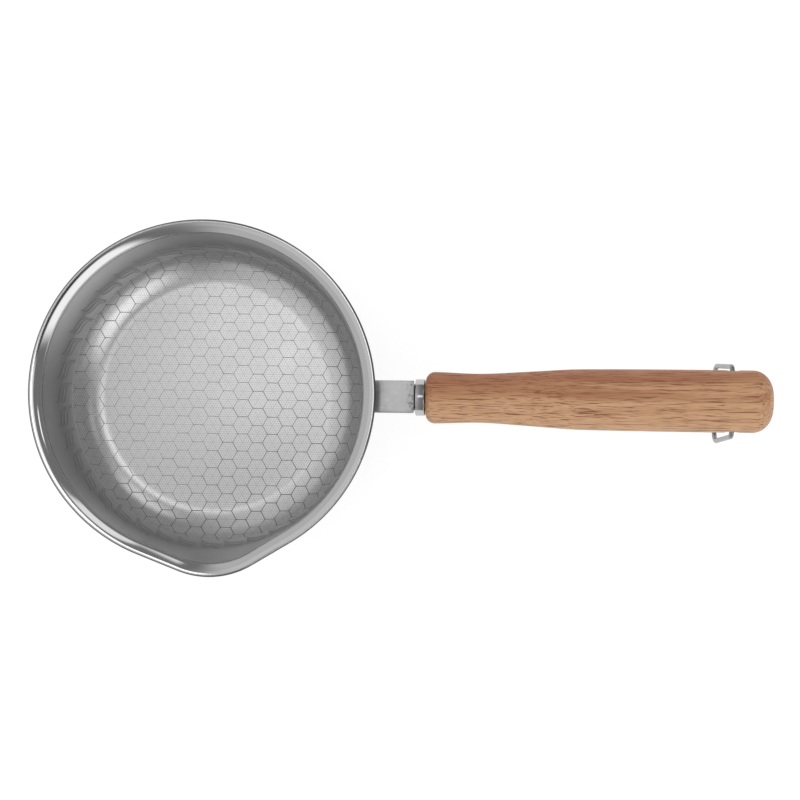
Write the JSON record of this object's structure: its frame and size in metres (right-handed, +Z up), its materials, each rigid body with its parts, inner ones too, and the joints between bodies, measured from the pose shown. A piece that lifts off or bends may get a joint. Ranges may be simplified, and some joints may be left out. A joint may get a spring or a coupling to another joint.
{
  "type": "frying pan",
  "caption": "Small deep steel frying pan with a pouring lip, a bolted wooden handle and a wire hanging ring.",
  "frame": {"origin": "centre of the flat underside of the base, where the pan stands", "axes": "+X out along the handle, -Y towards the pouring lip, +Z up"},
  "size_m": [0.3227, 0.1542, 0.0579],
  "materials": {
    "body_steel": "pressed stainless sheet, satin inside with an etched honeycomb, polished lip",
    "core_aluminium": "plain aluminium disc, hidden between body and cap",
    "cap_steel": "turned circular satin",
    "bracket_steel": "tumbled satin sheet",
    "fastener_steel": "bright zinc plate",
    "collar_steel": "turned and polished",
    "insert_brass": "turned brass, hidden in the handle",
    "handle_wood": "sanded hardwood with open pores, matt lacquer",
    "ring_wire": "drawn steel wire"
  },
  "bodies": {
    "pan": {"pan_body": "body_steel", "base_core": "core_aluminium", "base_cap": "cap_steel", "handle_bracket": "bracket_steel", "handle_bolt": "fastener_steel", "lock_washer": "fastener_steel", "handle_collar": "collar_steel", "threaded_insert": "insert_brass", "wooden_handle": "handle_wood"},
    "ring": {"hanging_ring": "ring_wire"}
  },
  "joints": [
    {"name": "ring_swing", "type": "hinge", "parent": "pan", "child": "ring", "pos_m": [0.23025, 0, 0.04487], "axis": [0, -1, 0], "range_deg": [-64, 250]}
  ]
}
